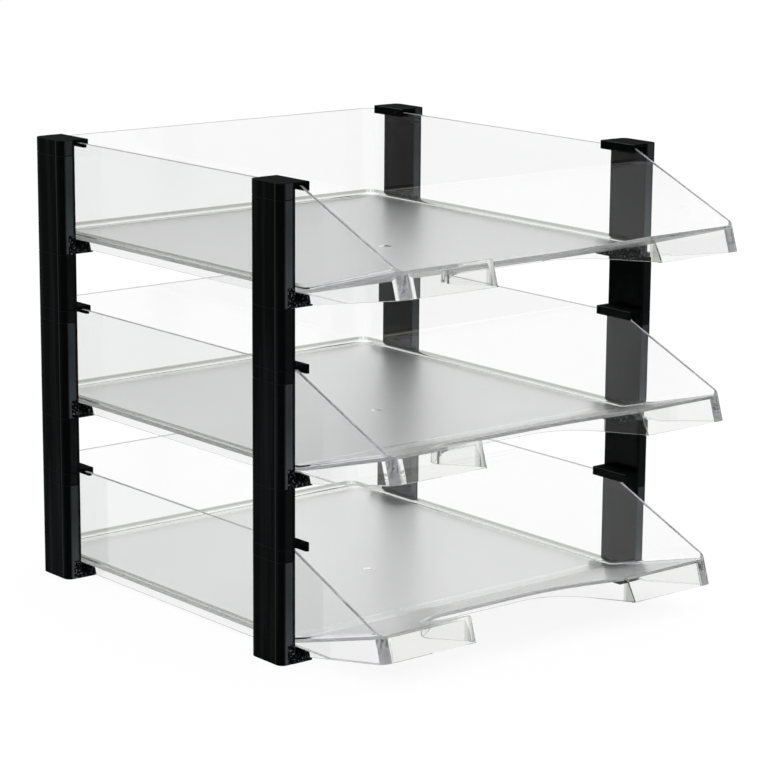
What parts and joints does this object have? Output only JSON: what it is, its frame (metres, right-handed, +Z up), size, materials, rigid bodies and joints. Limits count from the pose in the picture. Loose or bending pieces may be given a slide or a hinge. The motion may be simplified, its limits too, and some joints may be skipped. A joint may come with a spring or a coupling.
{
  "type": "letter tray stack",
  "caption": "Clear open letter trays with a sloping front and a finger notch, stacked one above the other between black corner columns that clip over their side walls.",
  "frame": {"origin": "on the desk, under the middle of a centred tray, at the centre of the underside of the box around the whole stack", "axes": "+X to the right, +Y to the back, +Z up, as seen by a person in front of the trays"},
  "size_m": [0.29, 0.3592, 0.2772],
  "materials": {
    "black_plastic": "satin black, injection moulded",
    "clear_plastic": "clear, polished, with a frosted floor"
  },
  "bodies": {
    "columns": {"front_left_bottom_riser": "black_plastic", "front_left_bottom_hook": "black_plastic", "front_left_lower_spacer": "black_plastic", "front_left_middle_riser": "black_plastic", "front_left_middle_hook": "black_plastic", "front_left_upper_spacer": "black_plastic", "front_left_top_riser": "black_plastic", "front_left_top_cap": "black_plastic", "front_right_bottom_riser": "black_plastic", "front_right_bottom_hook": "black_plastic", "front_right_lower_spacer": "black_plastic", "front_right_middle_riser": "black_plastic", "front_right_middle_hook": "black_plastic", "front_right_upper_spacer": "black_plastic", "front_right_top_riser": "black_plastic", "front_right_top_cap": "black_plastic", "rear_left_bottom_riser": "black_plastic", "rear_left_bottom_hook": "black_plastic", "rear_left_lower_spacer": "black_plastic", "rear_left_middle_riser": "black_plastic", "rear_left_middle_hook": "black_plastic", "rear_left_upper_spacer": "black_plastic", "rear_left_top_riser": "black_plastic", "rear_left_top_cap": "black_plastic", "rear_right_bottom_riser": "black_plastic", "rear_right_bottom_hook": "black_plastic", "rear_right_lower_spacer": "black_plastic", "rear_right_middle_riser": "black_plastic", "rear_right_middle_hook": "black_plastic", "rear_right_upper_spacer": "black_plastic", "rear_right_top_riser": "black_plastic", "rear_right_top_cap": "black_plastic"},
    "bottom_tray": {"bottom_tray": "clear_plastic"},
    "middle_tray": {"middle_tray": "clear_plastic"},
    "top_tray": {"top_tray": "clear_plastic"}
  },
  "joints": [
    {"name": "bottom_tray_slide", "type": "slide", "parent": "columns", "child": "bottom_tray", "axis": [0, -1, 0], "range_m": [-0.013, 0.015]},
    {"name": "middle_tray_slide", "type": "slide", "parent": "columns", "child": "middle_tray", "axis": [0, -1, 0], "range_m": [-0.02, 0.008]},
    {"name": "top_tray_slide", "type": "slide", "parent": "columns", "child": "top_tray", "axis": [0, -1, 0], "range_m": [-0.027, 0.001]}
  ]
}
